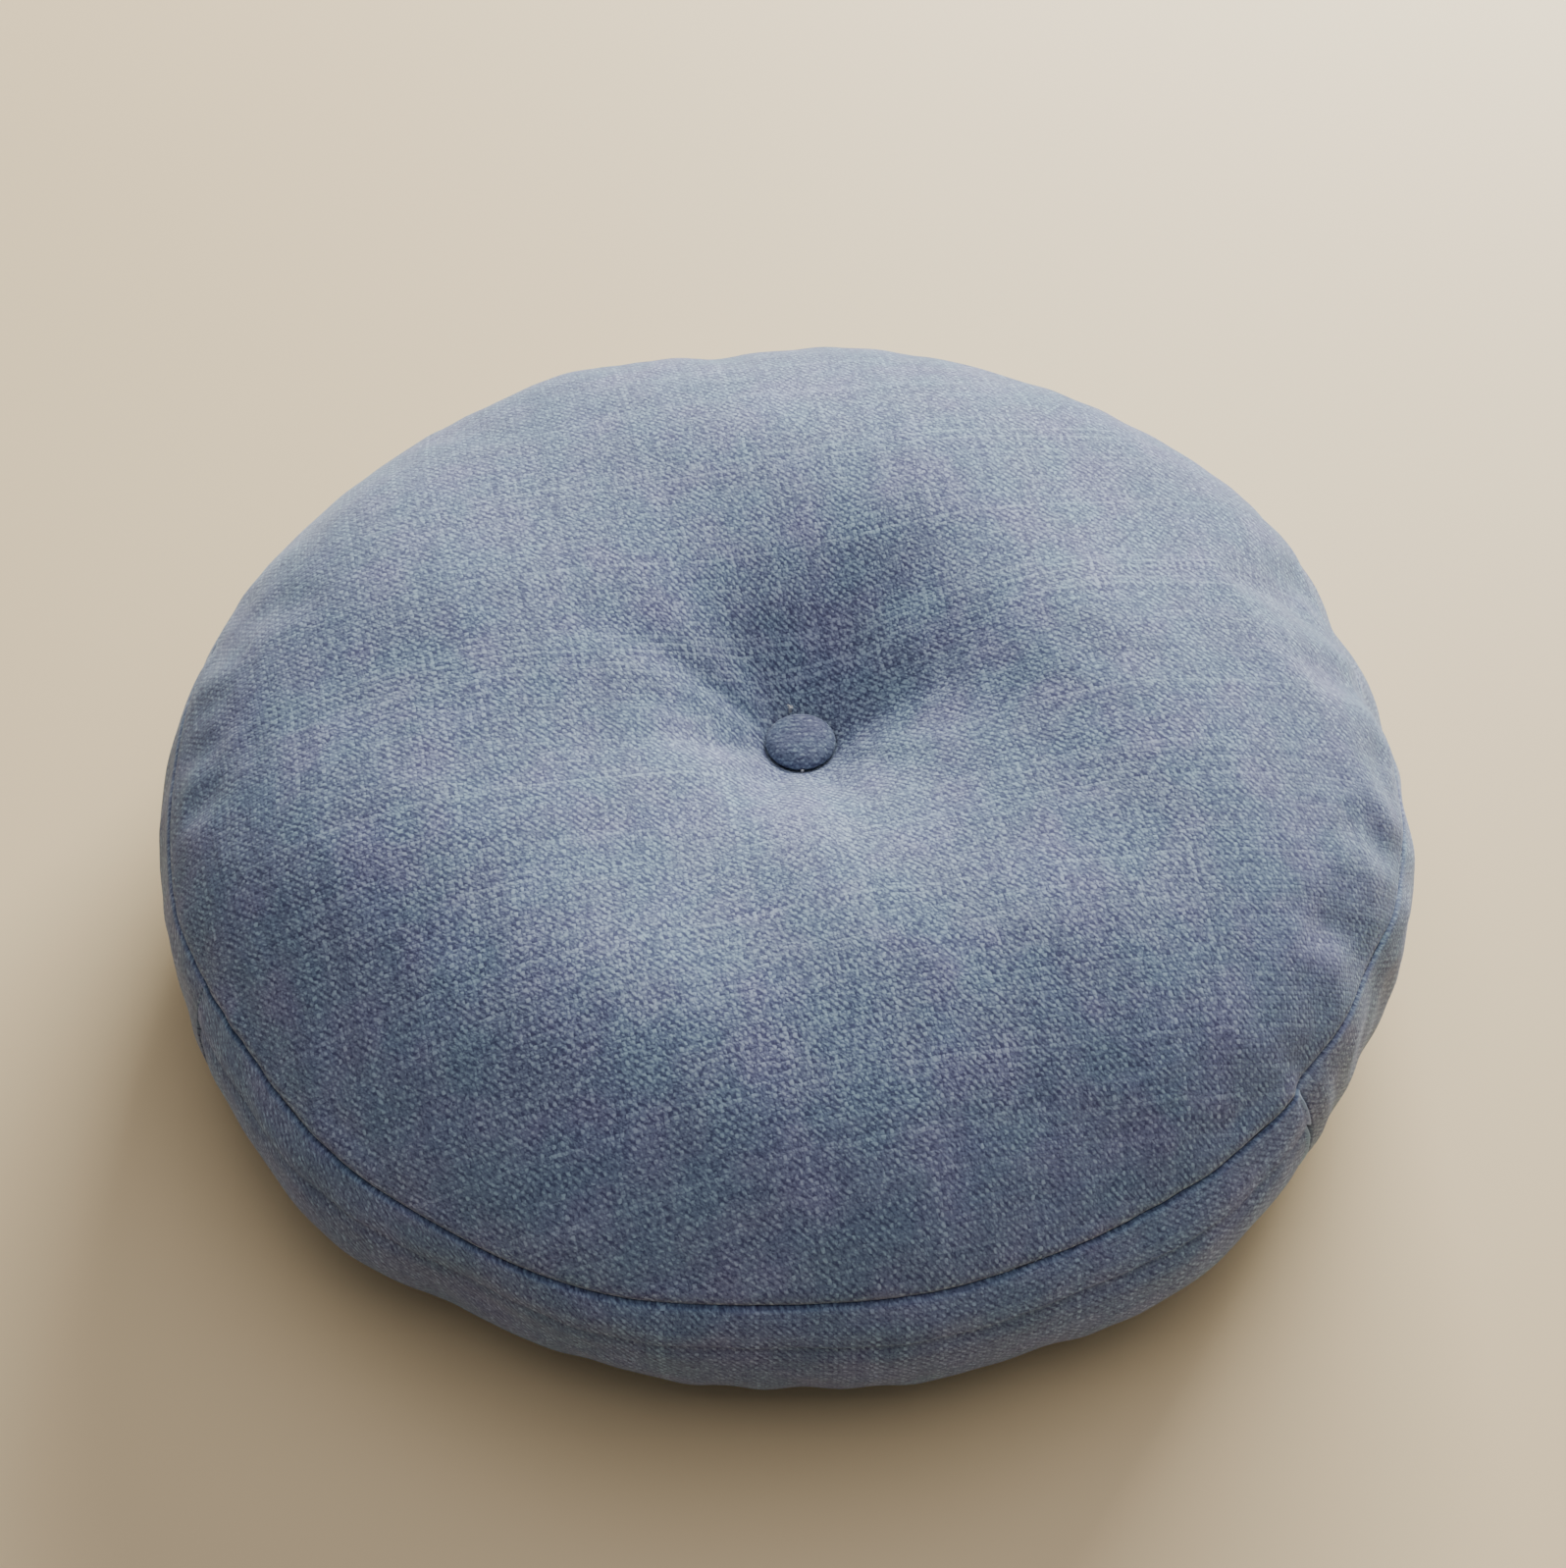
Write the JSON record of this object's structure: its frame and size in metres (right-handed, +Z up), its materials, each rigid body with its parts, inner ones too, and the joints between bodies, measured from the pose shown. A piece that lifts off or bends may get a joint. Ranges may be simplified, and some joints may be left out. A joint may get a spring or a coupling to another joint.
{
  "type": "floor cushion",
  "caption": "Round boxed floor cushion with a plump top, a lapped zip in its side band, and covered buttons pulled deep into both faces by a cord through the filling.",
  "frame": {"origin": "on the floor under the middle of the cushion", "axes": "+Z up through both buttons, -Y towards the zip side of the band"},
  "size_m": [0.4992, 0.4995, 0.152],
  "materials": {
    "cover_cloth": "heathered slate-blue linen-look plain weave with slubs, matt",
    "seam_thread": "dark blue sewing thread",
    "casing_cloth": "white non-woven",
    "filling": "lofted polyester fibre",
    "white_cord": "white twisted upholstery cord",
    "zip_tape": "woven blue zip tape",
    "zip_coil": "blue nylon coil",
    "zip_metal": "satin nickel",
    "button_metal": "plain stamped steel"
  },
  "bodies": {
    "cushion": {"bottom_seam_thread": "seam_thread", "cover_bottom_panel": "cover_cloth", "cover_top_panel": "cover_cloth", "filling_pad": "filling", "inner_casing_lower": "casing_cloth", "inner_casing_upper": "casing_cloth", "left_join_thread": "seam_thread", "right_join_thread": "seam_thread", "side_band": "cover_cloth", "top_seam_thread": "seam_thread", "tufting_cord": "white_cord", "tufting_cord_end": "white_cord", "zip_band_lower": "cover_cloth", "zip_band_upper": "cover_cloth", "zip_coil_lower": "zip_coil", "zip_coil_upper": "zip_coil", "zip_stop_left": "zip_metal", "zip_stop_right": "zip_metal", "zip_tape_lower": "zip_tape", "zip_tape_upper": "zip_tape"},
    "zip_slider": {"zip_slider": "zip_metal"},
    "zip_pull": {"zip_pull_tab": "zip_metal"},
    "top_button": {"top_button_cover": "cover_cloth", "top_button_shell": "button_metal", "top_button_back_plate": "button_metal", "top_button_loop": "button_metal"},
    "bottom_button": {"bottom_button_cover": "cover_cloth", "bottom_button_shell": "button_metal", "bottom_button_back_plate": "button_metal", "bottom_button_loop": "button_metal"}
  },
  "joints": [
    {"name": "zip_travel", "type": "hinge", "parent": "cushion", "child": "zip_slider", "pos_m": [0, 0, 0.086], "axis": [0, 0, 1], "range_deg": [-103, 0]},
    {"name": "zip_pull_lift", "type": "hinge", "parent": "zip_slider", "child": "zip_pull", "pos_m": [0.16724, -0.17505, 0.086], "axis": [0, 0, 1], "range_deg": [0, 7]},
    {"name": "top_button_twist", "type": "hinge", "parent": "cushion", "child": "top_button", "pos_m": [0, 0, 0.116], "axis": [0, 0, 1], "range_deg": [-20, 20], "stiffness_Nm_per_rad": 0.002},
    {"name": "bottom_button_twist", "type": "hinge", "parent": "cushion", "child": "bottom_button", "pos_m": [0, 0, 0.024], "axis": [0, 0, 1], "range_deg": [-20, 20], "stiffness_Nm_per_rad": 0.002}
  ]
}
